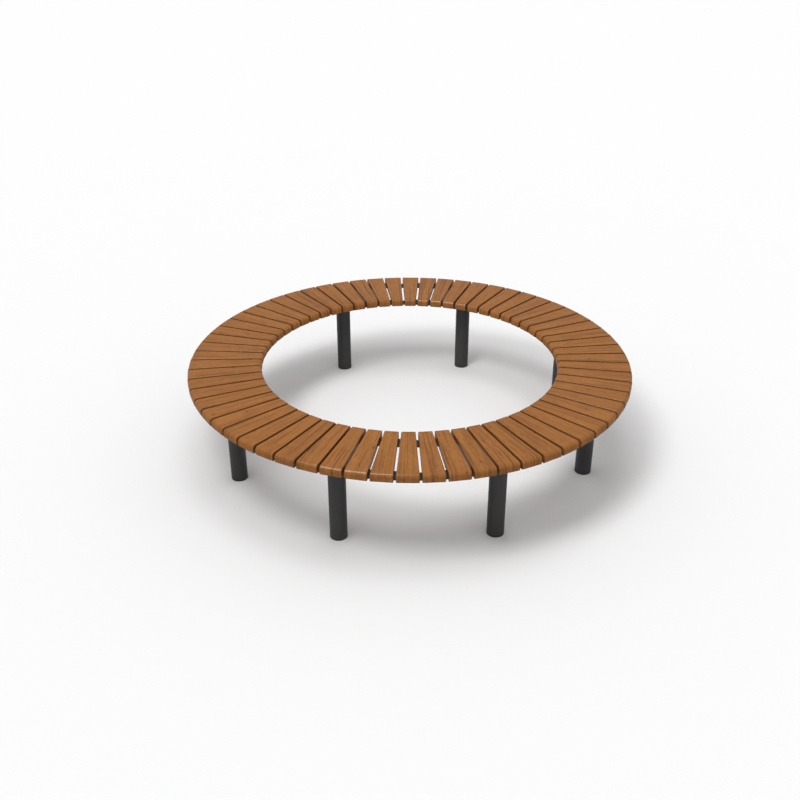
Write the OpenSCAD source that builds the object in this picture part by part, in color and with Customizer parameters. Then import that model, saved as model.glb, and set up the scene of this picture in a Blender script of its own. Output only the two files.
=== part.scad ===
// Round bench that stands about a tree: a ring of tapered wooden slats, housed over two
// rolled flat bars, on eight round steel legs. The frame comes apart into four quarters.
// Origin on the ground at the centre of the ring, +Z up. Quarters meet on the X and Y axes.

/* [Seat] */
// Outside diameter of the ring, across the slats' outer ends
seat_d = 2100; // [1900:10:2300]
// Length of a slat, from its inner end to its outer end
slat_len = 344; // [300:1:380]
// Height of the seat above the ground
seat_h = 455; // [420:5:480]
// Thickness of a slat
slat_t = 40; // [36:1:46]
// Number of slats in the whole ring
slat_count = 64; // [48:16:64]
// Width of the parallel gap between two slats
gap_w = 10.5; // [8:0.5:13]
// Rounding of the top edge at both ends of a slat
end_round = 16; // [12:1:20]
// Rounding of the lower edge at both ends of a slat
under_round = 9; // [5:1:12]
// Rounding of a slat's long edges and corners
edge_round = 3; // [2:0.5:5]

/* [Ring bars] */
// Width of the rolled flat bars
bar_w = 50; // [44:1:56]
// Thickness of the bars, which is also the depth of their housings in the slats
bar_t = 12; // [8:1:14]
// Distance from a slat's end to the nearest edge of a bar
bar_inset = 23; // [16:1:28]
// Length of the half lap that joins two quarters
lap_len = 70; // [64:1:80]

/* [Bearers] */
// Width of the flat bearer on top of each leg
bearer_w = 40; // [36:1:46]
// Thickness of a bearer
bearer_t = 10; // [8:1:12]
// Distance from a slat's end to the end of a bearer
bearer_inset = 30; // [24:1:36]

/* [Legs] */
// Outside diameter of the leg tube
leg_d = 76.1; // [70:0.1:80]
// Wall of the leg tube
leg_wall = 3.2; // [2.5:0.1:4]
// Distance from the tube's wall to the leg bolts, along the slats
bolt_reach = 24; // [20:1:30]
// Distance from the leg bolts to the end of the head plate
plate_edge = 18; // [14:1:24]
// Distance from the tube's wall to the long side of the head plate
plate_side = 8; // [6:1:16]
// Thickness of the head plate
plate_t = 8; // [6:1:10]
// Thickness of the foot under the tube
foot_t = 5; // [4:0.5:8]
// Depth of the foot's plug inside the tube
plug_len = 30; // [24:1:40]

/* [Fasteners] */
// Diameter of the slat screws
screw_d = 6; // [5:0.5:7]
// Wood that is left above the tip of a slat screw
screw_cover = 7; // [5:1:10]
// Diameter of the lap screws
lap_screw_d = 6; // [5:0.5:7]
// Diameter of the leg bolts
bolt_d = 8; // [7:0.5:9]
// Distance from a lap screw to the nearest edge of the bar
lap_screw_edge = 10; // [8:0.5:12]

/* [Hidden] */
// Counts that the ring's layout rests on
quarter_count = 4;
legs_per_quarter = 2;
groups_per_quarter = 4;
leg_count = quarter_count * legs_per_quarter;
group_count = quarter_count * groups_per_quarter;
quarter_turn = 360 / quarter_count;
slats_per_quarter = slat_count / quarter_count;
slats_per_group = slat_count / group_count;
pitch = 360 / slat_count;

// Radii and levels of the ring
outer_r = seat_d / 2;
inner_r = outer_r - slat_len;
slat_base = seat_h - slat_t;
leg_circle_r = (outer_r + inner_r) / 2;
outer_bar_r = outer_r - bar_inset - bar_w / 2;
inner_bar_r = inner_r + bar_inset + bar_w / 2;
bar_radii = [outer_bar_r, inner_bar_r];

// Clearances
housing_clear = 0.3;
lap_clear = 1;
thread_clear = 0.1;
hole_clear = 0.5;
plug_clear = 0.3;
overrun = 1;

// Slat screw: button head under the bar, hexagon socket, pointed shank
screw_bite = slat_t - bar_t - screw_cover;
screw_head_d = 12;
screw_head_h = 4;
screw_point_len = 6;
screw_flat_share = 0.6;
screw_rim_share = 0.45;
socket_w = 4;
socket_depth = 2.5;

// Lap screw: countersunk head, flush with the bar's underside
lap_half_t = bar_t / 2;
lap_end = gap_w / 2 + lap_len;
lap_mid = gap_w / 2 + lap_len / 2;
lap_head_d = 12;
lap_head_h = (lap_head_d - lap_screw_d) / 2;
lap_screw_spread = bar_w - 2 * lap_screw_edge;
lap_screw_stop = 1;
lap_socket_depth = 2;

// Leg bolt: flanged hexagon head under the head plate
bolt_flange_rim = 4.5;
bolt_flange_d = bolt_d + 2 * bolt_flange_rim;
bolt_flange_t = 1.5;
bolt_head_w = 13;
bolt_head_h = 6;
bolt_stop = 1;
bolt_space = 3;
bolt_row = bolt_flange_d + bolt_space;
bolt_span = leg_d + 2 * bolt_reach;

// Bearer, head plate and welds
bearer_base = slat_base - bearer_t;
bearer_round = 6;
plate_base = bearer_base - plate_t;
plate_len = bolt_span + 2 * plate_edge;
plate_w = leg_d + 2 * plate_side;
plate_round = 12;
weld = 4;

// Foot: a flange as wide as the tube, a hollow plug and its grip rings
tube_bore_r = leg_d / 2 - leg_wall;
foot_edge = 1.5;
plug_wall = 3;
plug_ring_t = 3;
plug_ring_h = 2.5;
plug_ring_count = 3;

// Colours
wood_colour = [0.61, 0.42, 0.26];
steel_colour = [0.2, 0.2, 0.2];
foot_colour = [0.09, 0.09, 0.09];
screw_colour = [0.62, 0.62, 0.6];

// Steps of small round shapes, and of the large rings
$fn = 48;
ring_steps = 360;

// Half the width of a slat, at a distance x from the ring's centre
function half_width(x) = x * tan(pitch / 2) - gap_w / 2 / cos(pitch / 2);

// Centre of the rounding at a slat's corner, for a rounding centred at distance x
function corner_centre(x) = [x, half_width(x) - edge_round / cos(pitch / 2)];

// Point where that rounding runs into the slat's long side
function side_touch(x) =
    corner_centre(x) + edge_round * [-sin(pitch / 2), cos(pitch / 2)];

// Places its children at the middle of slat i, counted from the +X axis
module at_slat(i) {
    rotate([0, 0, pitch * (i + 1 / 2)]) children();
}

// Places its children on the axis of leg i, with their X axis along the slats
module at_leg(i) {
    turn = 360 / leg_count * (i - 1 / 2);
    rotate([0, 0, turn]) translate([leg_circle_r, 0, 0]) children();
}

// Places its children in quarter i
module at_quarter(i) {
    rotate([0, 0, quarter_turn * (i - 1)]) children();
}

// Flat rectangle about the origin with four round corners
module round_rectangle(length, width, radius) {
    square([length - 2 * radius, width], center = true);
    square([length, width - 2 * radius], center = true);
    for (x = [-1, 1], y = [-1, 1]) {
        translate([x * (length / 2 - radius), y * (width / 2 - radius)]) circle(r = radius);
    }
}

// Flat ring section between two levels, turned into a full ring
module ring(middle_r, width, low, high) {
    rotate_extrude($fn = ring_steps) {
        translate([middle_r - width / 2, low]) square([width, high - low]);
    }
}

// Plan of a slat: tapered, with small round corners
module slat_plan() {
    outer_x = outer_r - edge_round;
    inner_x = inner_r + edge_round;
    outer_c = corner_centre(outer_x);
    inner_c = corner_centre(inner_x);
    outer_s = side_touch(outer_x);
    inner_s = side_touch(inner_x);
    polygon([
        [outer_r, -outer_c.y], [outer_r, outer_c.y], outer_s, inner_s,
        [inner_r, inner_c.y], [inner_r, -inner_c.y],
        [inner_s.x, -inner_s.y], [outer_s.x, -outer_s.y]
    ]);
    for (centre = [outer_c, inner_c], side = [-1, 1]) {
        translate([centre.x, side * centre.y]) circle(r = edge_round);
    }
}

// Long section of a slat: both ends are rounded over, more at the top than below
module slat_profile() {
    translate([inner_r, under_round]) square([slat_len, slat_t - under_round - end_round]);
    translate([inner_r + under_round, 0]) square([slat_len - 2 * under_round, slat_t - end_round]);
    translate([inner_r + end_round, under_round]) {
        square([slat_len - 2 * end_round, slat_t - under_round]);
    }
    for (x = [inner_r + end_round, outer_r - end_round]) {
        translate([x, slat_t - end_round]) circle(r = end_round);
    }
    for (x = [inner_r + under_round, outer_r - under_round]) {
        translate([x, under_round]) circle(r = under_round);
    }
}

// Cross section that rounds the upper and lower edge of one long side, at y = 0
module side_section() {
    width = 2 * half_width(outer_r) + 2 * edge_round;
    translate([-width, 0]) square([width - edge_round, slat_t]);
    translate([-edge_round, edge_round]) square([edge_round, slat_t - 2 * edge_round]);
    for (z = [edge_round, slat_t - edge_round]) {
        translate([-edge_round, z]) circle(r = edge_round);
    }
}

// Body that ends a slat at its left side, parallel to the gap beside it
module slat_side() {
    rotate([0, 0, pitch / 2]) translate([0, -gap_w / 2, slat_base]) {
        rotate([90, 0, 90]) linear_extrude(outer_r + slat_len) side_section();
    }
}

// One slat on the +X axis, housed over both bars and drilled for its screws
module slat() {
    half_w = half_width(outer_r) + edge_round;
    difference() {
        intersection() {
            translate([0, 0, slat_base]) linear_extrude(slat_t) slat_plan();
            translate([0, half_w, slat_base]) rotate([90, 0, 0]) {
                linear_extrude(2 * half_w) slat_profile();
            }
            slat_side();
            mirror([0, 1, 0]) slat_side();
        }
        for (r = bar_radii) {
            ring(r, bar_w + 2 * housing_clear, slat_base - overrun, slat_base + bar_t);
            translate([r, 0, slat_base]) {
                cylinder(d = screw_d + 2 * thread_clear, h = bar_t + screw_bite + thread_clear);
            }
        }
    }
}

// Four neighbouring slats of the seat
module seat_slats(i) {
    color(wood_colour) {
        for (k = [0:slats_per_group - 1]) at_slat((i - 1) * slats_per_group + k) slat();
    }
}

// Part of a ring bar between two levels, kept where x and y are past the given ends
module bar_layer(r, low, high, x_end, y_end) {
    intersection() {
        ring(r, bar_w, low, high);
        translate([x_end, y_end, low - overrun]) {
            cube([seat_d, seat_d, high - low + 2 * overrun]);
        }
    }
}

// Where the lap screws of a bar stand, from the joint on the +X axis
module at_lap_screws(r) {
    for (side = [-1, 1]) {
        rotate([0, 0, asin(lap_mid / r)]) {
            translate([r + side * lap_screw_spread / 2, 0, slat_base]) children();
        }
    }
}

// A quarter of a rolled bar: its lower half runs on under the next quarter's upper half
module ring_bar(r) {
    difference() {
        union() {
            bar_layer(r, slat_base + lap_half_t, slat_base + bar_t, gap_w / 2, gap_w / 2);
            bar_layer(r, slat_base, slat_base + lap_half_t, -lap_end, lap_end + lap_clear);
        }
        for (i = [0:slats_per_quarter]) {
            at_slat(i) translate([r, 0, slat_base - overrun]) {
                cylinder(d = screw_d + 2 * hole_clear, h = bar_t + 2 * overrun);
            }
        }
        at_lap_screws(r) {
            cylinder(d = lap_screw_d + 2 * thread_clear, h = bar_t + overrun);
        }
        rotate([0, 0, quarter_turn]) at_lap_screws(r) {
            translate([0, 0, -overrun]) {
                cylinder(d = lap_screw_d + 2 * hole_clear, h = bar_t + 2 * overrun);
            }
            lap_head(thread_clear);
        }
    }
}

module outer_bar(i) {
    color(steel_colour) at_quarter(i) ring_bar(outer_bar_r);
}

module inner_bar(i) {
    color(steel_colour) at_quarter(i) ring_bar(inner_bar_r);
}

// Where the four leg bolts of a leg stand
module at_leg_bolts() {
    for (x = [-1, 1], y = [-1, 1]) {
        translate([x * bolt_span / 2, y * bolt_row / 2, 0]) children();
    }
}

// Weld bead in the corner below a face at z = 0 and beside a face at y = 0
module weld_section() {
    polygon([[0, 0], [weld, 0], [0, -weld]]);
}

// Flat bar across both ring bars, welded to their undersides, with tapped bolt holes
module bearer(i) {
    length = slat_len - 2 * bearer_inset;
    bead_len = bar_inset + bar_w - bearer_inset;
    bead_x = length / 2 - bead_len;
    color(steel_colour) at_leg(i) translate([0, 0, bearer_base]) {
        difference() {
            linear_extrude(bearer_t) round_rectangle(length, bearer_w, bearer_round);
            at_leg_bolts() {
                translate([0, 0, -overrun]) {
                    cylinder(d = bolt_d + 2 * thread_clear, h = bearer_t + 2 * overrun);
                }
            }
        }
        for (turn = [0, 180], side = [0, 1]) {
            rotate([0, 0, turn]) mirror([0, side, 0]) {
                translate([bead_x, bearer_w / 2, bearer_t]) rotate([90, 0, 90]) {
                    linear_extrude(bead_len - bearer_round) weld_section();
                }
            }
        }
    }
}

// Leg: a tube welded under a head plate
module leg(i) {
    color(steel_colour) at_leg(i) {
        difference() {
            union() {
                translate([0, 0, plate_base]) {
                    linear_extrude(plate_t) round_rectangle(plate_len, plate_w, plate_round);
                }
                translate([0, 0, foot_t]) cylinder(d = leg_d, h = plate_base - foot_t);
                translate([0, 0, plate_base]) rotate_extrude() {
                    translate([leg_d / 2, 0]) weld_section();
                }
            }
            translate([0, 0, foot_t - overrun]) {
                cylinder(r = tube_bore_r, h = plate_base - foot_t + overrun);
            }
            at_leg_bolts() translate([0, 0, plate_base - overrun]) {
                cylinder(d = bolt_d + 2 * hole_clear, h = plate_t + 2 * overrun);
            }
        }
    }
}

// Foot: a hollow plug with grip rings, pressed into the tube, on a flange it stands on
module foot(i) {
    ring_r = tube_bore_r - plug_clear;
    core_r = ring_r - plug_ring_h;
    ring_step = plug_len / plug_ring_count;
    color(foot_colour) at_leg(i) {
        difference() {
            union() {
                cylinder(d1 = leg_d - 2 * foot_edge, d2 = leg_d, h = foot_edge);
                translate([0, 0, foot_edge]) cylinder(d = leg_d, h = foot_t - foot_edge);
                translate([0, 0, foot_t]) cylinder(r = core_r, h = plug_len);
                for (k = [1:plug_ring_count]) {
                    translate([0, 0, foot_t + k * ring_step - plug_ring_t]) {
                        cylinder(r = ring_r, h = plug_ring_t);
                    }
                }
            }
            translate([0, 0, foot_t]) {
                cylinder(r = core_r - plug_wall, h = plug_len + overrun);
            }
        }
    }
}

// Slat screw with its head below z = 0 and its shank above
module slat_screw() {
    head_r = screw_head_d / 2;
    shank_r = screw_d / 2;
    tip_z = bar_t + screw_bite;
    difference() {
        rotate_extrude() polygon([
            [0, -screw_head_h], [head_r * screw_flat_share, -screw_head_h],
            [head_r, -screw_head_h * screw_rim_share], [head_r, 0], [shank_r, 0],
            [shank_r, tip_z - screw_point_len], [0, tip_z]
        ]);
        translate([0, 0, -screw_head_h - overrun]) {
            cylinder(d = socket_w / cos(30), h = socket_depth + overrun, $fn = 6);
        }
    }
}

// All slat screws of a quarter
module slat_screws(i) {
    color(screw_colour) at_quarter(i) {
        for (k = [0:slats_per_quarter - 1], r = bar_radii) {
            at_slat(k) translate([r, 0, slat_base]) slat_screw();
        }
    }
}

// Cone of a lap screw's head, from z = 0 upwards, with some room round it
module lap_head(room) {
    translate([0, 0, -room]) {
        cylinder(d1 = lap_head_d + 4 * room, d2 = lap_screw_d, h = lap_head_h + 2 * room);
    }
}

// Lap screw with its head flush with z = 0
module lap_screw() {
    difference() {
        union() {
            cylinder(d1 = lap_head_d, d2 = lap_screw_d, h = lap_head_h);
            cylinder(d = lap_screw_d, h = bar_t - lap_screw_stop);
        }
        translate([0, 0, -overrun]) {
            cylinder(d = socket_w / cos(30), h = lap_socket_depth + overrun, $fn = 6);
        }
    }
}

// The lap screws at the start of a quarter, two in each bar
module lap_screws(i) {
    color(screw_colour) at_quarter(i) {
        for (r = bar_radii) at_lap_screws(r) lap_screw();
    }
}

// Leg bolt with its head below z = 0 and its shank above
module leg_bolt() {
    translate([0, 0, -bolt_flange_t]) cylinder(d = bolt_flange_d, h = bolt_flange_t);
    translate([0, 0, -bolt_head_h]) {
        cylinder(d = bolt_head_w / cos(30), h = bolt_head_h, $fn = 6);
    }
    cylinder(d = bolt_d, h = plate_t + bearer_t - bolt_stop);
}

// The bolts of the two legs of a quarter
module leg_bolts(i) {
    color(screw_colour) {
        for (k = [1:legs_per_quarter]) {
            at_leg((i - 1) * legs_per_quarter + k) {
                translate([0, 0, plate_base]) at_leg_bolts() leg_bolt();
            }
        }
    }
}

for (i = [1:group_count]) seat_slats(i);
for (i = [1:quarter_count]) outer_bar(i);
for (i = [1:quarter_count]) inner_bar(i);
for (i = [1:leg_count]) bearer(i);
for (i = [1:leg_count]) leg(i);
for (i = [1:leg_count]) foot(i);
for (i = [1:quarter_count]) slat_screws(i);
for (i = [1:quarter_count]) lap_screws(i);
for (i = [1:quarter_count]) leg_bolts(i);
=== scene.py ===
import math

import bmesh
import bpy
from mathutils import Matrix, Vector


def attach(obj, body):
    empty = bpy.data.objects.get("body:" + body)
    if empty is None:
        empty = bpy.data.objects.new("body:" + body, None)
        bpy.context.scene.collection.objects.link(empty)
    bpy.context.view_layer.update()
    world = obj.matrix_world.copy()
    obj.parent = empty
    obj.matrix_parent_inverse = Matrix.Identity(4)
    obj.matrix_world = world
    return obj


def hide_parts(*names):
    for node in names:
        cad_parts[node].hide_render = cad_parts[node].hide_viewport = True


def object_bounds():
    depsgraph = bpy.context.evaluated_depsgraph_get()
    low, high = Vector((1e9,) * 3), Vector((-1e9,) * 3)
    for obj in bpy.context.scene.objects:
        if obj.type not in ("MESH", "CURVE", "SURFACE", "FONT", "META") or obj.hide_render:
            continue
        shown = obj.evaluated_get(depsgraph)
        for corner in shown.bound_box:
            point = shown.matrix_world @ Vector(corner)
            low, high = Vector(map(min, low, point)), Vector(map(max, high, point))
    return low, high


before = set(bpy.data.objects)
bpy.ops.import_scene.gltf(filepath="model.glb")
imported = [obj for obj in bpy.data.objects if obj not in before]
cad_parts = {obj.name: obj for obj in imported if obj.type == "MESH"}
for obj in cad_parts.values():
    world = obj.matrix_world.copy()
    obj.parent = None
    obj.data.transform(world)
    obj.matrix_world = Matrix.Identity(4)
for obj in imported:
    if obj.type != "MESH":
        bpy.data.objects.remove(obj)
cad_low, cad_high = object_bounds()

# The bench's own sizes, as the part has them, in metres
MM = 0.001
QUARTERS = 4
SLAT_COUNT = 64
LEG_COUNT = 8
OUTER_R = 1050 * MM
SLAT_LEN = 344 * MM
SEAT_TOP = cad_high.z
SLAT_T = 40 * MM
GAP = 10.5 * MM
END_ROUND = 16 * MM
UNDER_ROUND = 9 * MM
EDGE_ROUND = 3 * MM
BAR_W = 50 * MM
BAR_T = 12 * MM
BAR_INSET = 23 * MM
LAP_LEN = 70 * MM
BEARER_W = 40 * MM
BEARER_T = 10 * MM
BEARER_INSET = 30 * MM
BEARER_CORNER = 6 * MM
LEG_D = 76.1 * MM
LEG_WALL = 3.2 * MM
BOLT_REACH = 24 * MM
PLATE_EDGE = 18 * MM
PLATE_SIDE = 8 * MM
PLATE_T = 8 * MM
PLATE_CORNER = 12 * MM
FOOT_T = 5 * MM
WELD = 4 * MM
SCREW_D = 6 * MM
SCREW_COVER = 7 * MM
SCREW_POINT = 6 * MM
SCREW_HEAD_D = 12 * MM
SCREW_HEAD_H = 4 * MM
LAP_SCREW_EDGE = 10 * MM
LAP_STOP = 1 * MM
SOCKET_W = 4 * MM
SOCKET_DEPTH = 2.5 * MM
LAP_SOCKET_DEPTH = 2 * MM
BOLT_D = 8 * MM
BOLT_ROW = 20 * MM
BOLT_FLANGE_D = 17 * MM
BOLT_FLANGE_T = 1.5 * MM
BOLT_HEAD_W = 13 * MM
BOLT_HEAD_H = 6 * MM
BOLT_STOP = 1 * MM

# Clearances, how much deeper a slat is cut between the bars, and how far a cutter overshoots
HOUSING_CLEAR = 0.3 * MM
LAP_CLEAR = 1 * MM
THREAD_CLEAR = 0.1 * MM
HOLE_CLEAR = 0.5 * MM
RELIEF = 2 * MM
OVERRUN = 1 * MM

# The small roundings and chamfers that the real pieces have
STEEL_EDGE = 1 * MM
BAR_EDGE = 0.6 * MM
TUBE_EDGE = 0.6 * MM
SCREW_RIM = 0.2 * MM
SCREW_RIM_IN = 0.3 * MM
BOLT_FACE_SHARE = 0.93
BOLT_HEAD_EDGE = 0.5 * MM
BOLT_FLANGE_FALL = 0.6 * MM
BOLT_FLANGE_RISE = 0.3 * MM
BOLT_FLANGE_RIM = 0.8 * MM
BOLT_POINT = 0.8 * MM
# A button head's dome: shares of its radius and of its height, from the socket to the rim
SCREW_DOME = ((0.55, 0.0), (0.78, 0.14), (0.93, 0.40), (1.0, 0.75))

# A weld bead: its bulge as a share of its size, that bulge's share along each axis, the depth of
# its scales, how full its ends are and how fast it fills from there, and the number of scales on
# a leg's and on a bearer's bead
BEAD_BULGE = 0.12
BEAD_DIAGONAL = 0.7
BEAD_SCALE_DEPTH = 0.10
BEAD_END_SHARE = 0.35
BEAD_END_RISE = 8
LEG_BEAD_SCALES = 80
BEARER_BEAD_SCALES = 16

# What follows from them
PITCH = math.tau / SLAT_COUNT
INNER_R = OUTER_R - SLAT_LEN
SLAT_BASE = SEAT_TOP - SLAT_T
BAR_RADII = (OUTER_R - BAR_INSET - BAR_W / 2, INNER_R + BAR_INSET + BAR_W / 2)
MIDDLE_R = (OUTER_R + INNER_R) / 2
LEG_R = MIDDLE_R
BEARER_LEN = SLAT_LEN - 2 * BEARER_INSET
BEARER_BASE = SLAT_BASE - BEARER_T
PLATE_BASE = BEARER_BASE - PLATE_T
BOLT_SPAN = LEG_D + 2 * BOLT_REACH
PLATE_LEN = BOLT_SPAN + 2 * PLATE_EDGE
PLATE_W = LEG_D + 2 * PLATE_SIDE
LAP_END = GAP / 2 + LAP_LEN
LAP_MID = GAP / 2 + LAP_LEN / 2
BOLT_PLACES = [(x * BOLT_SPAN / 2, y * BOLT_ROW / 2) for x in (-1, 1) for y in (-1, 1)]

# Edges sharper than the first angle are rounded, and than the second stay sharp in the shading
BEVEL_ANGLE = math.radians(40)
SHARP_ANGLE = math.radians(38)

# How finely round forms are divided
END_ROUND_STEPS = 10
UNDER_ROUND_STEPS = 6
EDGE_ROUND_STEPS = 3
STEEL_EDGE_STEPS = 2
BAR_EDGE_STEPS = 3
PLATE_CORNER_STEPS = 8
RECESS_STEPS = 8
HOLE_STEPS = 16
SLAT_SCREW_STEPS = 12
LAP_SCREW_STEPS = 24
BOLT_STEPS = 24
TUBE_STEPS = 96
BAR_STEPS = 120
BEAD_SECTION_STEPS = 5
LEG_BEAD_STEPS = 480
BEARER_BEAD_STEPS = 96

# Fixed seed of the copies' random numbers
SEED = 11

# The floor: half its side in metres, and its colour for the camera, for bounces and for gloss
FLOOR_HALF = 60.0
FLOOR_SEEN = 0.809
FLOOR_BOUNCE = 0.55
FLOOR_GLOSS = 0.42

# The light: the dome's share of what falls on the floor's middle, then for each softbox its name,
# place and radius in metres and its share. All of it is stronger by 1 / LIGHT_LEVEL
DOME_SHARE = 0.559
SOFTBOXES = (
    ("overhead_softbox", (-0.258, -0.389, 7.91), 1.91, 0.168),
    ("front_left_softbox", (-2.094, -2.447, 5.98), 1.15, 0.252),
)
FLOOR_LEVEL = DOME_SHARE + sum(share for _, _, _, share in SOFTBOXES)
LIGHT_LEVEL = 0.8

# The dome's own levels in gloss and for the camera, and the lamp that makes the glints: its
# energy, and its radius for that of the softbox whose place it takes
DOME_GLOSS = 0.45
BACKDROP = 0.96
GLINT_ENERGY = 34.0
GLINT_SPREAD = 1.5

# The camera that was fitted to the photograph: place and reach in metres, angles in degrees,
# lens and sensor in mm
CAMERA_PLACE = (-0.1903, -4.1644, 2.4783)
CAMERA_DOWN = 28.495
CAMERA_TURN = -1.990
CAMERA_LENS = 43.28
CAMERA_SENSOR = 36
CAMERA_REACH = 200


class Wiring:
    """Short calls that add nodes to a tree and wire them. Values may be numbers or sockets."""

    def __init__(self, tree):
        self.tree = tree

    def feed(self, socket, value):
        """Wires the value to the socket if it is a socket too, and sets it there if not."""
        if isinstance(value, bpy.types.NodeSocket):
            self.tree.links.new(value, socket)
        else:
            socket.default_value = value

    def node(self, kind, sockets=None, **settings):
        made = self.tree.nodes.new(kind)
        for key, value in settings.items():
            setattr(made, key, value)
        for key, value in (sockets or {}).items():
            self.feed(made.inputs[key], value)
        return made

    def maths(self, operation, *values):
        return self.node(
            "ShaderNodeMath", dict(enumerate(values)), operation=operation
        ).outputs[0]

    def product(self, first, *others):
        for other in others:
            first = self.maths("MULTIPLY", first, other)
        return first

    def vector(self, operation, *values):
        return self.node(
            "ShaderNodeVectorMath", dict(enumerate(values)), operation=operation
        ).outputs["Value" if operation == "DOT_PRODUCT" else "Vector"]

    def xyz(self, x, y, z):
        return self.node("ShaderNodeCombineXYZ", {0: x, 1: y, 2: z}).outputs[0]


class Finish(Wiring):
    """A material on one Principled shader, with calls for the patterns that finishes use."""

    def __init__(self, name):
        self.material = bpy.data.materials.new(name)
        self.material.use_nodes = True
        super().__init__(self.material.node_tree)
        self.shader = self.tree.nodes["Principled BSDF"]

    def set(self, **sockets):
        for key, value in sockets.items():
            self.feed(self.shader.inputs[key.replace("_", " ")], value)

    def noise(self, place, scales, detail=2.0, roughness=0.5):
        """Noise from 0 to 1 with its own scale along each axis, in features per metre."""
        return self.node(
            "ShaderNodeTexNoise",
            {
                "Vector": self.vector("MULTIPLY", place, scales),
                "Scale": 1.0,
                "Detail": detail,
                "Roughness": roughness,
            },
            noise_dimensions="3D",
        ).outputs[0]

    def band(self, value, low, high, out_low=0.0, out_high=1.0):
        """A smooth step from out_low to out_high as value goes from low to high."""
        return self.node(
            "ShaderNodeMapRange",
            {0: value, 1: low, 2: high, 3: out_low, 4: out_high},
            interpolation_type="SMOOTHSTEP",
        ).outputs[0]

    def mix(self, share, first, second, blend="MIX"):
        mixer = self.node("ShaderNodeMix", {0: share}, data_type="RGBA", blend_type=blend)
        for socket, colour in ((mixer.inputs[6], first), (mixer.inputs[7], second)):
            self.feed(socket, (*colour, 1.0) if isinstance(colour, tuple) else colour)
        return mixer.outputs[2]

    def attribute(self, name):
        return self.node("ShaderNodeAttribute", attribute_name=name).outputs["Fac"]

    def object_place(self):
        return self.node("ShaderNodeTexCoord").outputs["Object"]

    def bump(self, height, distance, strength):
        return self.node(
            "ShaderNodeBump", {"Height": height, "Distance": distance, "Strength": strength}
        ).outputs[0]


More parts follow.
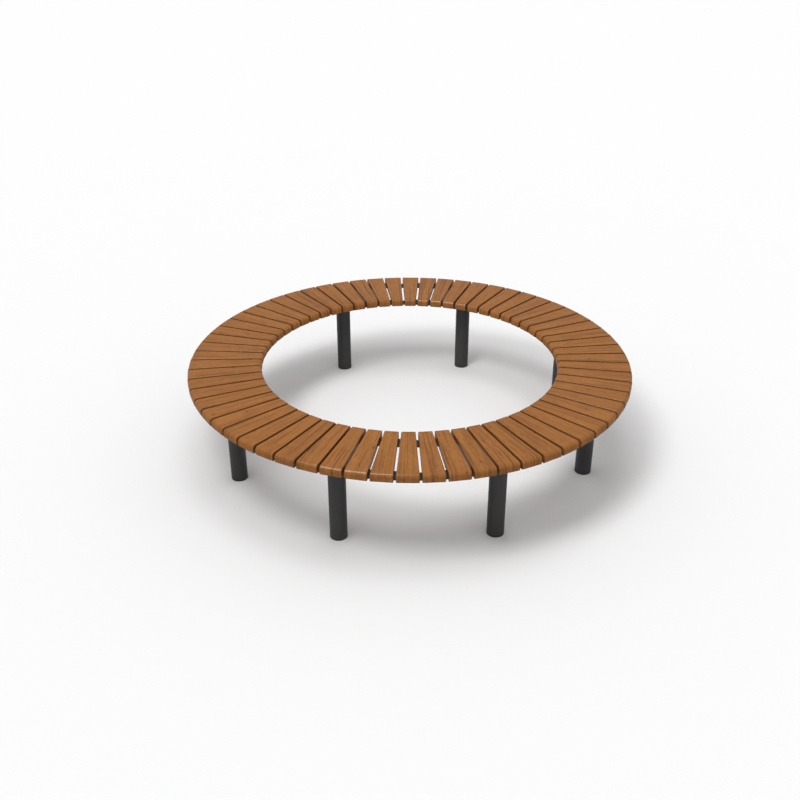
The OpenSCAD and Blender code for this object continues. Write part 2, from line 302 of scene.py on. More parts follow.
def slat_wood():
    """Oiled hardwood: lengthwise streaks, fine lines, pores and small knots, each slat its own."""
    base_colours = (0.306, 0.123, 0.0330), (0.333, 0.136, 0.0365)
    streak_colour = (0.150, 0.060, 0.0285)
    line_colour = (0.118, 0.045, 0.0205)
    fleck_colour = (0.150, 0.056, 0.0180)
    fibre_colour = (0.195, 0.076, 0.022)
    pore_colour = (0.085, 0.034, 0.012)
    halo_colour = (0.170, 0.066, 0.024)
    knot_colour = (0.080, 0.032, 0.016)
    gap_shade_colour = (0.070, 0.030, 0.013)
    worn_colour = (0.330, 0.146, 0.048)

    # Each slat has its own part of the pattern, and two more random numbers from its seed
    wood = Finish("oiled_hardwood")
    seed = wood.attribute("copy_seed")
    own_part = wood.vector("MULTIPLY", wood.xyz(seed, seed, seed), (31.7, 12.9, 53.3))
    grain_map = wood.node("ShaderNodeUVMap", uv_map="grain").outputs[0]
    place = wood.vector("ADD", grain_map, own_part)
    second_seed = wood.maths("FRACT", wood.product(seed, 7.13))
    third_seed = wood.maths("FRACT", wood.product(seed, 17.71))

    # Knots: one possible place in each cell, and only some cells have one
    cells = wood.node(
        "ShaderNodeTexVoronoi",
        {"Vector": wood.vector("MULTIPLY", place, (7.0, 15.0, 0.0)), "Scale": 1.0},
        voronoi_dimensions="2D",
    )
    knot_pick = wood.node("ShaderNodeSeparateColor", {0: cells.outputs["Color"]})
    has_knot = wood.band(knot_pick.outputs[0], 0.74, 0.76)
    knot_size = wood.maths("MULTIPLY_ADD", knot_pick.outputs[1], 0.026, 0.020)
    knot_away = wood.maths("DIVIDE", cells.outputs["Distance"], knot_size)
    knot = wood.product(wood.band(knot_away, 1.5, 0.6), has_knot)
    knot_halo = wood.product(wood.band(knot_away, 4.5, 1.0), has_knot)

    # The grain wanders a little, and bows out beside a knot
    wander = wood.maths("SUBTRACT", wood.noise(place, (3.2, 8.0, 1.0)), 0.5)
    sway = wood.maths("ADD", wood.product(wander, 0.030), wood.product(knot_halo, 0.004))
    flow = wood.vector("ADD", place, wood.xyz(0.0, sway, 0.0))

    tone = wood.band(wood.noise(flow, (1.1, 42.0, 1.0), 3.0, 0.55), 0.36, 0.64)
    colour = wood.mix(tone, *base_colours)

    # Soft purple-brown streaks, more of them on some slats than on others
    broad_where = wood.band(wood.noise(place, (1.5, 26.0, 1.0), 1.0), 0.36, 0.62)
    broad = wood.band(wood.noise(flow, (2.1, 105.0, 1.0), 3.0, 0.60), 0.47, 0.66)
    broad_most = wood.band(second_seed, 0.0, 1.0, 0.56, 0.76)
    broad_share = wood.product(broad, broad_where, broad_most)
    colour = wood.mix(broad_share, colour, streak_colour)

    # Fine dark lines along the grain
    line_where = wood.band(wood.noise(place, (1.2, 30.0, 1.0), 1.0), 0.32, 0.60, 0.2, 1.0)
    lines = wood.band(wood.noise(flow, (2.6, 240.0, 1.0), 3.0, 0.62), 0.52, 0.64)
    line_most = wood.band(third_seed, 0.0, 1.0, 0.66, 0.84)
    colour = wood.mix(wood.product(lines, line_where, line_most), colour, line_colour)

    # Short flecks, fibres and the open pores
    flecks = wood.band(wood.noise(flow, (32.0, 300.0, 1.0)), 0.53, 0.69)
    colour = wood.mix(wood.product(flecks, 0.50), colour, fleck_colour)
    fibres = wood.noise(flow, (30.0, 1500.0, 1.0))
    colour = wood.mix(wood.band(fibres, 0.35, 0.65, 0.0, 0.16), colour, fibre_colour)
    pores = wood.band(wood.noise(flow, (55.0, 1100.0, 1.0), 1.0), 0.66, 0.74)
    colour = wood.mix(wood.product(pores, 0.35), colour, pore_colour)

    # Lighter blotches, and slats a little lighter or darker than their neighbours
    blotches = wood.noise(place, (14.0, 9.0, 1.0))
    blotch_tone = wood.band(blotches, 0.3, 0.7, 1.00, 1.08)
    slat_tone = wood.band(second_seed, 0.0, 1.0, 0.99, 1.02)
    level = wood.product(blotch_tone, slat_tone)
    colour = wood.mix(1.0, colour, wood.xyz(level, level, level), "MULTIPLY")

    colour = wood.mix(wood.product(knot_halo, 0.20), colour, halo_colour)
    colour = wood.mix(wood.product(knot, 0.80), colour, knot_colour)

    # Painted shade: the sides that face a gap are darkened to stand for the shade between the slats
    colour = wood.mix(wood.product(wood.attribute("in_gap"), 0.42), colour, gap_shade_colour)

    # Edges lose a little of their oil
    worn = wood.product(
        wood.attribute("wear"),
        wood.band(wood.noise(place, (40.0, 60.0, 1.0), 3.0), 0.42, 0.66, 0.0, 0.15),
    )
    colour = wood.mix(worn, colour, worn_colour)

    smooth = wood.maths(
        "ADD",
        wood.band(blotches, 0.3, 0.7, 0.20, 0.25),
        wood.product(wood.maths("ADD", pores, broad_share), 0.05),
    )
    height = wood.maths(
        "SUBTRACT", wood.product(fibres, 0.35), wood.maths("ADD", pores, wood.product(knot, 0.8))
    )
    wood.set(
        Base_Color=colour,
        Roughness=smooth,
        Normal=wood.bump(height, 0.12 * MM, 0.5),
        IOR=1.48,
        Specular_IOR_Level=0.08,
    )
    return wood.material


def powder_coat():
    """Near-black polyester powder coat with its fine orange peel, dust and rubbed edges."""
    coat_colours = (0.0392, 0.0395, 0.0403), (0.0456, 0.0456, 0.0462)
    dust_colour = (0.060, 0.058, 0.055)
    rubbed_colour = (0.085, 0.083, 0.080)

    coat = Finish("powder_coat")
    place = coat.object_place()
    drift = coat.band(coat.noise(place, (5.0, 5.0, 5.0), 3.0), 0.35, 0.65)
    colour = coat.mix(drift, *coat_colours)
    dust = coat.band(coat.noise(place, (90.0, 90.0, 60.0), 4.0, 0.6), 0.55, 0.8, 0.0, 0.12)
    colour = coat.mix(dust, colour, dust_colour)
    rub = coat.product(
        coat.attribute("wear"),
        coat.band(coat.noise(place, (120.0, 120.0, 120.0), 3.0), 0.45, 0.7, 0.0, 0.5),
    )
    colour = coat.mix(rub, colour, rubbed_colour)
    peel = coat.noise(place, (700.0, 700.0, 700.0))
    roughness = coat.band(coat.noise(place, (30.0, 30.0, 30.0), 3.0), 0.3, 0.7, 0.30, 0.38)
    coat.set(
        Base_Color=colour,
        Roughness=roughness,
        Normal=coat.bump(peel, 0.08 * MM, 0.6),
        IOR=1.45,
    )
    return coat.material


def foot_plastic():
    """Moulded black polyamide with a faint texture and scuffs."""
    plain_colour, scuff_colour = (0.010, 0.010, 0.010), (0.035, 0.034, 0.032)
    foot = Finish("black_polyamide")
    place = foot.object_place()
    scuff = foot.band(foot.noise(place, (60.0, 60.0, 200.0), 4.0, 0.6), 0.5, 0.75, 0.0, 0.5)
    texture = foot.noise(place, (1500.0, 1500.0, 1500.0), 1.0)
    foot.set(
        Base_Color=foot.mix(scuff, plain_colour, scuff_colour),
        Roughness=foot.band(scuff, 0.0, 0.5, 0.5, 0.68),
        Normal=foot.bump(texture, 0.05 * MM, 0.5),
    )
    return foot.material


def screw_steel():
    """Stainless steel, turned and a little dulled."""
    bright_colour, dull_colour = (0.50, 0.49, 0.47), (0.36, 0.35, 0.335)
    steel = Finish("stainless_steel")
    place = steel.object_place()
    dull = steel.band(steel.noise(place, (70.0, 70.0, 70.0), 3.0), 0.35, 0.7)
    fine = steel.noise(place, (900.0, 900.0, 2500.0))
    steel.set(
        Base_Color=steel.mix(dull, bright_colour, dull_colour),
        Metallic=1.0,
        Roughness=steel.band(dull, 0.0, 1.0, 0.30, 0.48),
        Normal=steel.bump(fine, 0.02 * MM, 0.5),
    )
    return steel.material


class FormTree(Wiring):
    """A Geometry Nodes tree with named inputs, whose end is a real mesh with its material."""

    def __init__(self, name, inputs):
        super().__init__(bpy.data.node_groups.new(name, "GeometryNodeTree"))
        sockets = self.tree.interface
        self.named = {
            label: sockets.new_socket(
                label, in_out="INPUT", socket_type=f"NodeSocket{kind}"
            ).identifier
            for label, kind in inputs.items()
        }
        sockets.new_socket("Geometry", in_out="OUTPUT", socket_type="NodeSocketGeometry")
        self.given = self.node("NodeGroupInput").outputs

    def end_with(self, geometry):
        """Makes the geometry real and gives it the material that comes as an input."""
        real = self.node("GeometryNodeRealizeInstances", {"Geometry": geometry})
        worn = self.node(
            "GeometryNodeSetMaterial",
            {"Geometry": real.outputs[0], "Material": self.given["Material"]},
        )
        self.node("NodeGroupOutput", {"Geometry": worn.outputs[0]})
        return self

    def run(self, name, values):
        """A piece made by this tree with these values for its named inputs."""
        host = shown(name, bpy.data.meshes.new(name))
        modifier = host.modifiers.new(self.tree.name, "NODES")
        modifier.node_group = self.tree
        for label, value in values.items():
            modifier[self.named[label]] = value
        return settle(host)


def ring_of_copies():
    """Tree that turns numbered copies of one piece about the bench's axis."""
    ring = FormTree(
        "Ring of copies",
        {
            "Piece": "Object",
            "Copies": "Int",
            "First Copy": "Int",
            "Turn Step": "Float",
            "Turn Share": "Float",
            "Seed": "Int",
            "Material": "Material",
        },
    )
    given = ring.given
    index = ring.node("GeometryNodeInputIndex").outputs[0]
    number = ring.maths("ADD", index, given["First Copy"])
    turn = ring.product(ring.maths("ADD", number, given["Turn Share"]), given["Turn Step"])
    piece = ring.node("GeometryNodeObjectInfo", {"Object": given["Piece"]})
    points = ring.node("GeometryNodePoints", {"Count": given["Copies"]})
    copies = ring.node(
        "GeometryNodeInstanceOnPoints",
        {
            "Points": points.outputs[0],
            "Instance": piece.outputs["Geometry"],
            "Rotation": ring.xyz(0.0, 0.0, turn),
        },
    )
    chance = ring.node(
        "FunctionNodeRandomValue", {"ID": number, "Seed": given["Seed"]}, data_type="FLOAT"
    )
    seeded = ring.node(
        "GeometryNodeStoreNamedAttribute",
        {"Geometry": copies.outputs[0], "Name": "copy_seed", "Value": chance.outputs[1]},
        data_type="FLOAT",
        domain="INSTANCE",
    )
    return ring.end_with(seeded.outputs[0])


def rolled_bar():
    """Tree that rolls a flat bar along a quarter's arc and cuts its two half laps."""
    bar = FormTree(
        "Rolled bar",
        {
            "Radius": "Float",
            "Width": "Float",
            "Thickness": "Float",
            "Underside": "Float",
            "Edge Round": "Float",
            "Half Gap": "Float",
            "Lap End": "Float",
            "Lap Clear": "Float",
            "Steps": "Int",
            "Material": "Material",
        },
    )
    given = bar.given
    # The sweep runs past both ends of the quarter, and the laps' cutters take the rest off
    quarter = math.tau / QUARTERS
    spare = quarter / 9
    arc = bar.node(
        "GeometryNodeCurveArc",
        {
            "Resolution": given["Steps"],
            "Radius": given["Radius"],
            "Start Angle": -spare,
            "Sweep Angle": quarter + 2 * spare,
        },
    )
    section = bar.node(
        "GeometryNodeCurvePrimitiveQuadrilateral",
        {"Width": given["Width"], "Height": given["Thickness"]},
    )
    rounded = bar.node(
        "GeometryNodeFilletCurve",
        {"Curve": section.outputs[0], "Radius": given["Edge Round"], "Count": BAR_EDGE_STEPS},
        mode="POLY",
    )
    swept = bar.node(
        "GeometryNodeCurveToMesh",
        {"Curve": arc.outputs[0], "Profile Curve": rounded.outputs[0], "Fill Caps": True},
    )
    lap_level = bar.maths("ADD", given["Underside"], bar.product(given["Thickness"], 0.5))
    lifted = bar.node(
        "GeometryNodeTransform",
        {"Geometry": swept.outputs[0], "Translation": bar.xyz(0.0, 0.0, lap_level)},
    )
    # The cutters are blocks as wide as the ring, and twice as thick as the bar
    reach = bar.product(given["Radius"], 2.0)
    half_reach = bar.product(reach, 0.5)
    block_height = bar.product(given["Thickness"], 2.0)
    block = bar.node("GeometryNodeMeshCube", {"Size": bar.xyz(reach, reach, block_height)})

    def cutter(x_end, y_end, above):
        """A block that takes away the bar's half above or below the lap, short of an end."""
        x = half_reach if x_end is None else bar.maths("SUBTRACT", x_end, half_reach)
        y = half_reach if y_end is None else bar.maths("SUBTRACT", y_end, half_reach)
        z = bar.maths("ADD" if above else "SUBTRACT", lap_level, given["Thickness"])
        return bar.node(
            "GeometryNodeTransform",
            {"Geometry": block.outputs[0], "Translation": bar.xyz(x, y, z)},
        ).outputs[0]

    lap_start = bar.maths("ADD", given["Lap End"], given["Lap Clear"])
    lap_tip = bar.product(given["Lap End"], -1.0)
    solid = lifted.outputs[0]
    for x_end, y_end, above in (
        (None, given["Half Gap"], True),
        (None, lap_start, False),
        (given["Half Gap"], None, True),
        (lap_tip, None, False),
    ):
        solid = bar.node(
            "GeometryNodeMeshBoolean",
            {"Mesh 1": solid, "Mesh 2": cutter(x_end, y_end, above)},
            operation="DIFFERENCE",
            solver="EXACT",
        ).outputs[0]
    return bar.end_with(solid)


def shown(name, mesh):
    """A new object in the scene that holds the mesh."""
    made = bpy.data.objects.new(name, mesh)
    bpy.context.scene.collection.objects.link(made)
    return made


def settle(host):
    """Turns what the modifiers make into the object's own plain mesh."""
    graph = bpy.context.evaluated_depsgraph_get()
    plain = bpy.data.meshes.new_from_object(
        host.evaluated_get(graph), preserve_all_data_layers=True, depsgraph=graph
    )
    host.modifiers.clear()
    host.data = plain
    plain.name = host.name
    return host


def shade(host):
    """Smooth faces between sharp edges, with the flat faces kept flat beside their roundings."""
    host.data.shade_smooth()
    host.data.set_sharp_from_angle(angle=SHARP_ANGLE)
    large_first = host.modifiers.new("Flat faces first", "WEIGHTED_NORMAL")
    large_first.keep_sharp = True
    large_first.weight = 100
    return settle(host)


def dress(piece, nodes):
    """Attaches the finished piece to the root body, and hides the CAD nodes that it stands for."""
    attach(piece, "root")
    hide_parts(*nodes)


def master(bm, name):
    """A form as an object of its own, with its normals facing out."""
    bmesh.ops.recalc_face_normals(bm, faces=bm.faces)
    mesh = bpy.data.meshes.new(name)
    bm.to_mesh(mesh)
    bm.free()
    return shown(name, mesh)


def join_into(bm, other):
    """Adds a copy of another form's shell to bm, and lets the other go."""
    mesh = bpy.data.meshes.new("shell")
    other.to_mesh(mesh)
    other.free()
    bm.from_mesh(mesh)
    bpy.data.meshes.remove(mesh)


def cut(host, cutters):
    """Takes each cutter out of the host with an exact Boolean."""
    for tool in cutters:
        step = host.modifiers.new("cut", "BOOLEAN")
        step.object = tool
        step.operation = "DIFFERENCE"
        step.solver = "EXACT"
    settle(host)
    for tool in cutters:
        bpy.data.objects.remove(tool)
    return host


def bevel(bm, edges, width, segments):
    """Rounds these edges and marks the points inside the roundings as the first to wear."""
    wear = bm.verts.layers.float.get("wear") or bm.verts.layers.float.new("wear")
    made = bmesh.ops.bevel(
        bm,
        geom=list(edges),
        offset=width,
        offset_type="OFFSET",
        segments=segments,
        profile=0.5,
        affect="EDGES",
        clamp_overlap=True,
        loop_slide=True,
    )
    new_faces = set(made["faces"])
    for vert in {v for face in new_faces for v in face.verts}:
        vert[wear] = float(all(face in new_faces for face in vert.link_faces))


def sharp_edges(bm):
    """The edges to round."""
    return [e for e in bm.edges if e.is_manifold and e.calc_face_angle() > BEVEL_ANGLE]


def skin(bm, loops, closed):
    """Faces from each loop of points to the next, then to the first if closed, or else caps."""
    for here, there in zip(loops, loops[1:] + loops[:1] if closed else loops[1:]):
        count = max(len(here), len(there))
        for k in range(count):
            after = (k + 1) % count
            corners = (
                here[k % len(here)],
                there[k % len(there)],
                there[after % len(there)],
                here[after % len(here)],
            )
            bm.faces.new(list(dict.fromkeys(corners)))
    if not closed:
        for end in (loops[0], loops[-1]):
            if len(end) > 1:
                bm.faces.new(end)


def turned(rows, steps, centre):
    """A form turned about the centre. A row is (radius, height) or (inradius, height, "hex")."""
    bm = bmesh.new()
    loops = []
    for radius, height, *kind in rows:
        if radius == 0:
            loops.append([bm.verts.new((*centre, height))])
            continue
        loop = []
        for k in range(steps):
            angle = math.tau * k / steps
            reach = radius
            if kind:
                reach = radius / math.cos(angle % (math.pi / 3) - math.pi / 6)
            x = centre[0] + reach * math.cos(angle)
            y = centre[1] + reach * math.sin(angle)
            loop.append(bm.verts.new((x, y, height)))
        loops.append(loop)
    skin(bm, loops, len(loops[0]) > 1)
    return bm


def drill(radius, low, high, centre):
    """A cutter for a round hole."""
    rows = [(0, low), (radius, low), (radius, high), (0, high)]
    return master(turned(rows, HOLE_STEPS, centre), "drill")


def rounded_plate(length, width, corner, low, high, hole_r):
    """A plate under the slats at a leg: round corners, soft edges and holes for the bolts."""
    bm = bmesh.new()
    outline = []
    for index, (sx, sy) in enumerate(((1, 1), (-1, 1), (-1, -1), (1, -1))):
        for k in range(PLATE_CORNER_STEPS + 1):
            angle = math.pi / 2 * (index + k / PLATE_CORNER_STEPS)
            x = LEG_R + sx * (length / 2 - corner) + corner * math.cos(angle)
            y = sy * (width / 2 - corner) + corner * math.sin(angle)
            outline.append(bm.verts.new((x, y, low)))
    face = bm.faces.new(outline)
    top = bmesh.ops.extrude_face_region(bm, geom=[face])
    for vert in (v for v in top["geom"] if isinstance(v, bmesh.types.BMVert)):
        vert.co.z = high
    bmesh.ops.recalc_face_normals(bm, faces=bm.faces)
    bevel(bm, sharp_edges(bm), STEEL_EDGE, STEEL_EDGE_STEPS)
    host = master(bm, "plate")
    drills = [
        drill(hole_r, low - OVERRUN, high + OVERRUN, (LEG_R + x, y)) for x, y in BOLT_PLACES
    ]
    return cut(host, drills)


def bead_section(size):
    """Points of a weld bead's section as (out, up) from its corner, closed inside the steel."""
    points = [(-TUBE_EDGE, -size)]
    for k in range(BEAD_SECTION_STEPS + 1):
        share = k / BEAD_SECTION_STEPS
        swell = BEAD_BULGE * size * math.sin(math.pi * share) * BEAD_DIAGONAL
        points.append((size * share + swell, -size * (1 - share) - swell))
    return points + [(-TUBE_EDGE, 0.0)]


def ripple(place, pitch):
    """How full a bead is at a place along it: the scales that a weld leaves."""
    share = place / pitch % 1.0
    return 1 - BEAD_SCALE_DEPTH + BEAD_SCALE_DEPTH * math.sqrt(1 - (2 * share - 1) ** 2)


def half_width(x):
    """Half the width of a slat at distance x from the bench's axis."""
    return x * math.tan(PITCH / 2) - GAP / 2 / math.cos(PITCH / 2)


def arc_block(middle_r, width, low, high, half_turn):
    """A short length of a flat ring about the +X axis."""
    bm = bmesh.new()
    rings = []
    for k in range(RECESS_STEPS + 1):
        angle = half_turn * (2 * k / RECESS_STEPS - 1)
        rings.append(
            [
                bm.verts.new((r * math.cos(angle), r * math.sin(angle), z))
                for r, z in (
                    (middle_r - width / 2, low),
                    (middle_r + width / 2, low),
                    (middle_r + width / 2, high),
                    (middle_r - width / 2, high),
                )
            ]
        )
    skin(bm, rings, False)
    return bm


def slat_form():
    """A tapered slat on the +X axis: rounded ends that reach down over both bars."""
    bm = bmesh.new()
    bmesh.ops.create_cube(bm, size=2)
    for vert in bm.verts:
        x = OUTER_R if vert.co.x > 0 else INNER_R
        y = math.copysign(half_width(x), vert.co.y)
        vert.co = (x, y, SEAT_TOP if vert.co.z > 0 else SLAT_BASE)
    tiny = MM / 100
    for level, radius, steps in (
        (SEAT_TOP, END_ROUND, END_ROUND_STEPS),
        (SLAT_BASE, UNDER_ROUND, UNDER_ROUND_STEPS),
    ):
        end_edges = [
            e
            for e in bm.edges
            if all(abs(v.co.z - level) < tiny for v in e.verts)
            and abs(e.verts[0].co.x - e.verts[1].co.x) < tiny
        ]
        bevel(bm, end_edges, radius, steps)
    # The large roundings at the ends don't wear, only the small ones along the edges
    wear = bm.verts.layers.float["wear"]
    for vert in bm.verts:
        vert[wear] = 0.0
    bevel(bm, sharp_edges(bm), EDGE_ROUND, EDGE_ROUND_STEPS)
    host = master(bm, "slat")
    # One recess from bar to bar, relieved between them so that the slat bears on the bars alone:
    # the photograph shows the floor through the narrow gaps
    outer_bar_r, inner_bar_r = BAR_RADII
    recess_r = (outer_bar_r + inner_bar_r) / 2
    between = outer_bar_r - inner_bar_r
    roof = SLAT_BASE + BAR_T
    cutters = [
        master(arc_block(recess_r, width, SLAT_BASE - OVERRUN, top, PITCH / 2), "recess")
        for width, top in (
            (between + BAR_W + 2 * HOUSING_CLEAR, roof),
            (between - BAR_W - 2 * RELIEF, roof + RELIEF),
        )
    ]
    drill_top = SEAT_TOP - SCREW_COVER + THREAD_CLEAR
    cutters += [
        drill(SCREW_D / 2 + THREAD_CLEAR, SLAT_BASE, drill_top, (r, 0.0)) for r in BAR_RADII
    ]
    cut(host, cutters)
    lay_grain(host.data)
    return host


def lay_grain(mesh):
    """Lays the grain map, in metres, along the slat, over its ends and down its sides."""
    mesh.uv_layers.new(name="grain")
    # The sides that face a gap are marked for the painted shade between the slats
    mesh.attributes.new("in_gap", "FLOAT", "CORNER")
    grain = mesh.uv_layers["grain"].data
    in_gap = mesh.attributes["in_gap"].data
    # The flat underside takes another part of the pattern than the top
    under_shift = 0.4
    facing_down = -0.98
    for face in mesh.polygons:
        normal = face.normal
        sideways = abs(normal.y) > max(abs(normal.x), abs(normal.z))
        rounding = END_ROUND if normal.z > 0 else UNDER_ROUND
        beyond = abs(face.center.x - MIDDLE_R) > SLAT_LEN / 2 - rounding
        over_end = beyond and normal.z > facing_down
        for loop in face.loop_indices:
            x, y, z = mesh.vertices[mesh.loops[loop].vertex_index].co
            drop = SEAT_TOP - z
            if sideways:
                y += math.copysign(drop, normal.y)
            elif over_end:
                x += math.copysign(drop, x - MIDDLE_R)
            elif normal.z < 0:
                y += under_shift
            grain[loop].uv = (x, y)
            in_gap[loop].value = float(sideways)


def with_shells(host, shells):
    """A form of the host's mesh and these shells, without the host itself."""
    bm = bmesh.new()
    bm.from_mesh(host.data)
    bpy.data.objects.remove(host)
    for shell in shells:
        join_into(bm, shell)
    return bm


def leg_form():
    """A leg on the +X axis: tube, head plate and the weld bead between them."""
    plate = rounded_plate(
        PLATE_LEN, PLATE_W, PLATE_CORNER, PLATE_BASE, BEARER_BASE, BOLT_D / 2 + HOLE_CLEAR
    )
    outer = LEG_D / 2
    bore = outer - LEG_WALL
    edge_in = 0.3 * TUBE_EDGE
    tube = turned(
        [
            (bore, PLATE_BASE),
            (bore, FOOT_T),
            (outer - TUBE_EDGE, FOOT_T),
            (outer - edge_in, FOOT_T + edge_in),
            (outer, FOOT_T + TUBE_EDGE),
            (outer, PLATE_BASE),
        ],
        TUBE_STEPS,
        (LEG_R, 0.0),
    )
    bead = bmesh.new()
    pitch = math.tau * outer / LEG_BEAD_SCALES
    loops = []
    for k in range(LEG_BEAD_STEPS):
        angle = math.tau * k / LEG_BEAD_STEPS
        loop = []
        for out, up in bead_section(WELD * ripple(angle * outer, pitch)):
            r = outer + out
            place = (LEG_R + r * math.cos(angle), r * math.sin(angle), PLATE_BASE + up)
            loop.append(bead.verts.new(place))
        loops.append(loop)
    skin(bead, loops, True)
    return master(with_shells(plate, [tube, bead]), "leg")


def bearer_bead(end, side):
    """The bead along one side of a bearer, under the outer (1) or the inner (-1) ring bar."""
    bead = bmesh.new()
    length = BAR_INSET + BAR_W - BEARER_INSET - BEARER_CORNER
    start = BEARER_LEN / 2 - BAR_INSET - BAR_W + BEARER_INSET
    loops = []
    for k in range(BEARER_BEAD_STEPS + 1):
        along = length * k / BEARER_BEAD_STEPS
        from_end = min(along, length - along)
        taper = min(1.0, BEAD_END_RISE * from_end / length + BEAD_END_SHARE)
        full = ripple(along, length / BEARER_BEAD_SCALES) * taper
        x = LEG_R + end * (start + along)
        loops.append(
            [
                bead.verts.new((x, side * (BEARER_W / 2 + out), SLAT_BASE + up))
                for out, up in bead_section(WELD * full)
            ]
        )
    skin(bead, loops, False)
    return bead


def bearer_form():
    """A bearer on the +X axis with its four weld beads under the ring bars."""
    bar = rounded_plate(
        BEARER_LEN, BEARER_W, BEARER_CORNER, BEARER_BASE, SLAT_BASE, BOLT_D / 2 + THREAD_CLEAR
    )
    beads = [bearer_bead(end, side) for end in (-1, 1) for side in (-1, 1)]
    return master(with_shells(bar, beads), "bearer")


def slat_screw_form():
    """The two screws of a slat on the +X axis: domed heads under the bars, sockets below."""
    bm = bmesh.new()
    head_r = SCREW_HEAD_D / 2
    shank_r = SCREW_D / 2
    tip = SEAT_TOP - SCREW_COVER
    under = SLAT_BASE - SCREW_HEAD_H
    rows = [
        (0, under + SOCKET_DEPTH),
        (SOCKET_W / 2, under + SOCKET_DEPTH, "hex"),
        (SOCKET_W / 2, under, "hex"),
        *((head_r * out, under + SCREW_HEAD_H * up) for out, up in SCREW_DOME),
        (head_r, SLAT_BASE),
        (shank_r, SLAT_BASE),
        (shank_r, tip - SCREW_POINT),
        (0, tip),
    ]
    for r in BAR_RADII:
        join_into(bm, turned(rows, SLAT_SCREW_STEPS, (r, 0.0)))
    return master(bm, "slat_screws")


def lap_screw_form():
    """The four countersunk screws that hold a joint of two quarters, at the +X joint."""
    bm = bmesh.new()
    head_r = SCREW_HEAD_D / 2
    shank_r = SCREW_D / 2
    spread = BAR_W - 2 * LAP_SCREW_EDGE
    tip = SLAT_BASE + BAR_T - LAP_STOP
    rows = [
        (0, SLAT_BASE + LAP_SOCKET_DEPTH),
        (SOCKET_W / 2, SLAT_BASE + LAP_SOCKET_DEPTH, "hex"),
        (SOCKET_W / 2, SLAT_BASE, "hex"),
        (head_r - SCREW_RIM_IN, SLAT_BASE),
        (head_r, SLAT_BASE + SCREW_RIM),
        (shank_r, SLAT_BASE + head_r - shank_r),
        (shank_r, tip),
        (0, tip),
    ]
    for bar_r in BAR_RADII:
        turn = math.asin(LAP_MID / bar_r)
        for side in (-1, 1):
            r = bar_r + side * spread / 2
            centre = (r * math.cos(turn), r * math.sin(turn))
            join_into(bm, turned(rows, LAP_SCREW_STEPS, centre))
    return master(bm, "lap_screws")


def leg_bolt_form():
    """The four flanged bolts of a leg on the +X axis, heads below the head plate."""
    bm = bmesh.new()
    flange_r = BOLT_FLANGE_D / 2
    flat = BOLT_HEAD_W / 2
    shank_r = BOLT_D / 2
    under = PLATE_BASE - BOLT_HEAD_H
    flange = PLATE_BASE - BOLT_FLANGE_T
    top = SLAT_BASE - BOLT_STOP
    rows = [
        (0, under),
        (flat * BOLT_FACE_SHARE, under),
        (flat, under + BOLT_HEAD_EDGE, "hex"),
        (flat, flange - BOLT_FLANGE_FALL, "hex"),
        (flange_r - BOLT_HEAD_EDGE, flange + BOLT_FLANGE_RISE),
        (flange_r, PLATE_BASE - BOLT_FLANGE_RIM),
        (flange_r, PLATE_BASE),
        (shank_r, PLATE_BASE),
        (shank_r, top - BOLT_POINT),
        (shank_r - BOLT_POINT, top),
        (0, top),
    ]
    for x, y in BOLT_PLACES:
        join_into(bm, turned(rows, BOLT_STEPS, (LEG_R + x, y)))
    return master(bm, "leg_bolts")


def numbered(stem, first, count):
    """Names of CAD nodes."""
    return [f"{stem}_{i}" for i in range(first, first + count)]


def build_bench():
    """One piece of each kind for each quarter, because the frame divides there."""
    finishes = {
        "slat_wood": slat_wood(),
        "frame_steel": powder_coat(),
        "screw_steel": screw_steel(),
    }
    ring, bar = ring_of_copies(), rolled_bar()
    slats_each = SLAT_COUNT // QUARTERS
    legs_each = LEG_COUNT // QUARTERS
    slat_nodes_each = 4

    def add_piece(stem, quarter, form, count, step, share, slot, nodes):
        """A quarter's copies of a form, the first a share of a step past the quarter's start."""
        values = {
            "Piece": form,
            "Copies": count,
            "First Copy": quarter * count,
            "Turn Step": step,
            "Turn Share": share,
            "Seed": SEED,
            "Material": finishes[slot],
        }
        dress(shade(ring.run(f"{stem}_quarter_{quarter + 1}", values)), nodes)

    # Copies in a quarter, the turn from one to the next, and the share of it before the first
    by_slat = (slats_each, PITCH, 0.5)
    by_leg = (legs_each, math.tau / LEG_COUNT, 0.5)
    by_quarter = (1, math.tau / QUARTERS, 0.0)
    # Name, form, copies, slot, then the CAD nodes' name and their number in a quarter
    plans = (
        ("slats", slat_form(), by_slat, "slat_wood", "seat_slats", slat_nodes_each),
        ("bearers", bearer_form(), by_leg, "frame_steel", "bearer", legs_each),
        ("legs", leg_form(), by_leg, "frame_steel", "leg", legs_each),
        ("slat_screws", slat_screw_form(), by_slat, "screw_steel", "slat_screws", 1),
        ("lap_screws", lap_screw_form(), by_quarter, "screw_steel", "lap_screws", 1),
        ("leg_bolts", leg_bolt_form(), by_leg, "screw_steel", "leg_bolts", 1),
    )
    for quarter in range(QUARTERS):
        for stem, form, copies, slot, nodes, node_count in plans:
            replaced = numbered(nodes, quarter * node_count + 1, node_count)
            add_piece(stem, quarter, form, *copies, slot, replaced)
    for plan in plans:
        bpy.data.objects.remove(plan[1])
    for stem, radius in zip(("outer_bar", "inner_bar"), BAR_RADII):
        values = {
            "Radius": radius,
            "Width": BAR_W,
            "Thickness": BAR_T,
            "Underside": SLAT_BASE,
            "Edge Round": BAR_EDGE,
            "Half Gap": GAP / 2,
            "Lap End": LAP_END,
            "Lap Clear": LAP_CLEAR,
            "Steps": BAR_STEPS,
            "Material": finishes["frame_steel"],
        }
        form = bar.run(stem, values)
        for quarter in range(QUARTERS):
            add_piece(stem, quarter, form, *by_quarter, "frame_steel", [f"{stem}_{quarter + 1}"])
        bpy.data.objects.remove(form)


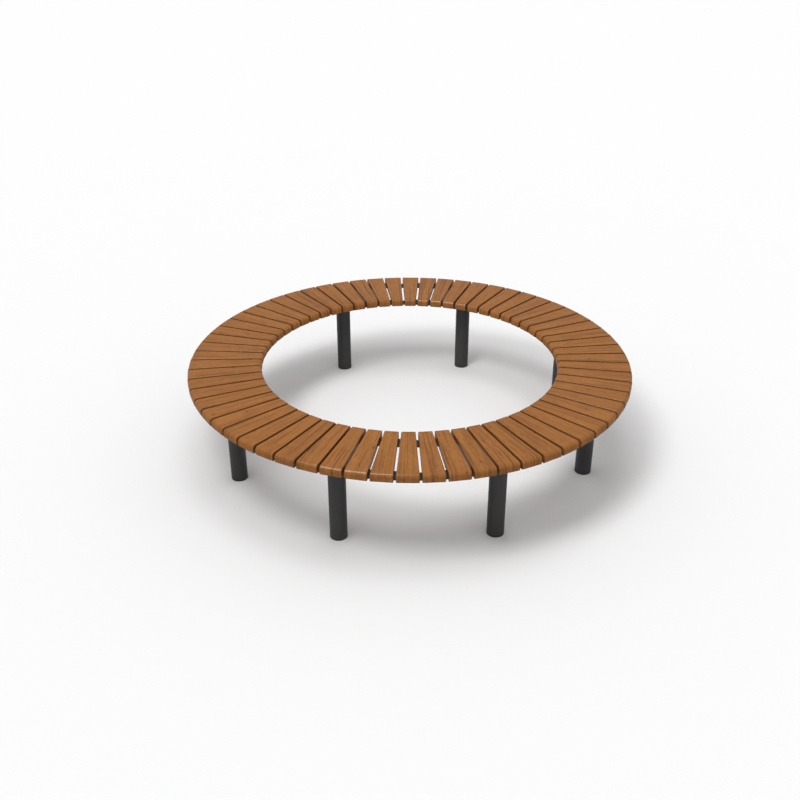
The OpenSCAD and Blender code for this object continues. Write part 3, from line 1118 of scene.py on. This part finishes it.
def dress_feet():
    """The feet keep their CAD form and get their finish."""
    plastic = foot_plastic()
    for name in numbered("foot", 1, LEG_COUNT):
        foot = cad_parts[name]
        for slot in foot.material_slots:
            slot.link = "OBJECT"
            slot.material = plastic


def aimed_disc(name, place, radius, energy, glint):
    """A round lamp that faces the bench's middle, whose light doesn't fade with distance."""
    lamp = bpy.data.objects.new(name, bpy.data.lights.new(name, "AREA"))
    lamp.data.shape = "DISK"
    lamp.data.size = 2 * radius
    lamp.data.energy = energy
    lamp.location = place
    lamp.rotation_euler = lamp.location.to_track_quat("Z", "Y").to_euler()
    lamp.data.use_nodes = True
    glow = Wiring(lamp.data.node_tree)
    even = glow.node("ShaderNodeLightFalloff", {"Strength": 1.0}).outputs["Constant"]
    glow.tree.links.new(even, glow.tree.nodes["Emission"].inputs["Strength"])
    lamp.visible_glossy = glint
    lamp.visible_diffuse = not glint
    bpy.context.scene.collection.objects.link(lamp)


def pale_floor():
    """A matt floor that the lamps light evenly, so that only shadows darken it."""
    pale = Finish("pale_floor")
    pale.tree.nodes.remove(pale.shader)
    place = pale.object_place()
    even = DOME_SHARE
    for _, lamp_place, _, share in SOFTBOXES:
        towards = pale.vector("SUBTRACT", lamp_place, place)
        near = pale.vector("DOT_PRODUCT", lamp_place, towards)
        away = pale.vector("DOT_PRODUCT", towards, towards)
        lit = pale.maths("MAXIMUM", pale.maths("DIVIDE", near, away), 0.0)
        even = pale.maths("MULTIPLY_ADD", lit, share, even)
    seen_level = pale.maths("DIVIDE", FLOOR_SEEN * FLOOR_LEVEL, even)
    paths = pale.node("ShaderNodeLightPath").outputs
    colour = pale.mix(paths["Is Glossy Ray"], (FLOOR_BOUNCE,) * 3, (FLOOR_GLOSS,) * 3)
    seen_colour = pale.xyz(seen_level, seen_level, seen_level)
    colour = pale.mix(paths["Is Camera Ray"], colour, seen_colour)
    matt = pale.node("ShaderNodeBsdfDiffuse", {"Color": colour})
    # Seen from below, the floor lets the underside of the bench show
    clear = pale.node("ShaderNodeBsdfTransparent")
    under = pale.node("ShaderNodeNewGeometry").outputs["Backfacing"]
    both = pale.node("ShaderNodeMixShader", {0: under, 1: matt.outputs[0], 2: clear.outputs[0]})
    pale.tree.links.new(both.outputs[0], pale.tree.nodes["Material Output"].inputs["Surface"])
    return pale.material


def set_stage():
    """Pale floor, soft studio light and the camera at the photograph's place."""
    signs = ((-1, -1), (1, -1), (1, 1), (-1, 1))
    corners = [(x * FLOOR_HALF, y * FLOOR_HALF, 0) for x, y in signs]
    floor_mesh = bpy.data.meshes.new("floor")
    floor_mesh.from_pydata(corners, [], [(0, 1, 2, 3)])
    floor = shown("floor", floor_mesh)
    floor_mesh.materials.append(pale_floor())

    scene = bpy.context.scene
    world = scene.world or bpy.data.worlds.new("studio")
    scene.world = world
    world.use_nodes = True
    sky = Wiring(world.node_tree)
    sky.tree.nodes.clear()
    paths = sky.node("ShaderNodeLightPath").outputs
    unseen = sky.node(
        "ShaderNodeMapRange",
        {0: paths["Is Glossy Ray"], 3: DOME_SHARE / LIGHT_LEVEL, 4: DOME_GLOSS},
    ).outputs[0]
    strength = sky.node(
        "ShaderNodeMapRange", {0: paths["Is Camera Ray"], 3: unseen, 4: BACKDROP}
    )
    dome = sky.node(
        "ShaderNodeBackground", {"Color": (1.0, 1.0, 1.0, 1.0), "Strength": strength.outputs[0]}
    )
    sky.node("ShaderNodeOutputWorld", {"Surface": dome.outputs[0]})
    # A softbox's energy gives the floor's middle its share, however far and slanted its light is
    for name, place, radius, share in SOFTBOXES:
        energy = math.pi**2 * share / LIGHT_LEVEL * math.hypot(*place) / place[2]
        aimed_disc(name, place, radius, energy, False)
    # The front left softbox once more, as the glint that it leaves on rounded edges
    _, place, radius, _ = SOFTBOXES[1]
    aimed_disc("front_left_glint", place, GLINT_SPREAD * radius, GLINT_ENERGY, True)

    camera = bpy.data.objects.new("camera", bpy.data.cameras.new("camera"))
    scene.collection.objects.link(camera)
    camera.location = CAMERA_PLACE
    camera.rotation_euler = (math.radians(90 - CAMERA_DOWN), 0.0, math.radians(CAMERA_TURN))
    camera.data.sensor_width = CAMERA_SENSOR
    camera.data.lens = CAMERA_LENS
    camera.data.clip_end = CAMERA_REACH
    scene.camera = camera
    scene.view_settings.view_transform = "Standard"


build_bench()
dress_feet()
set_stage()
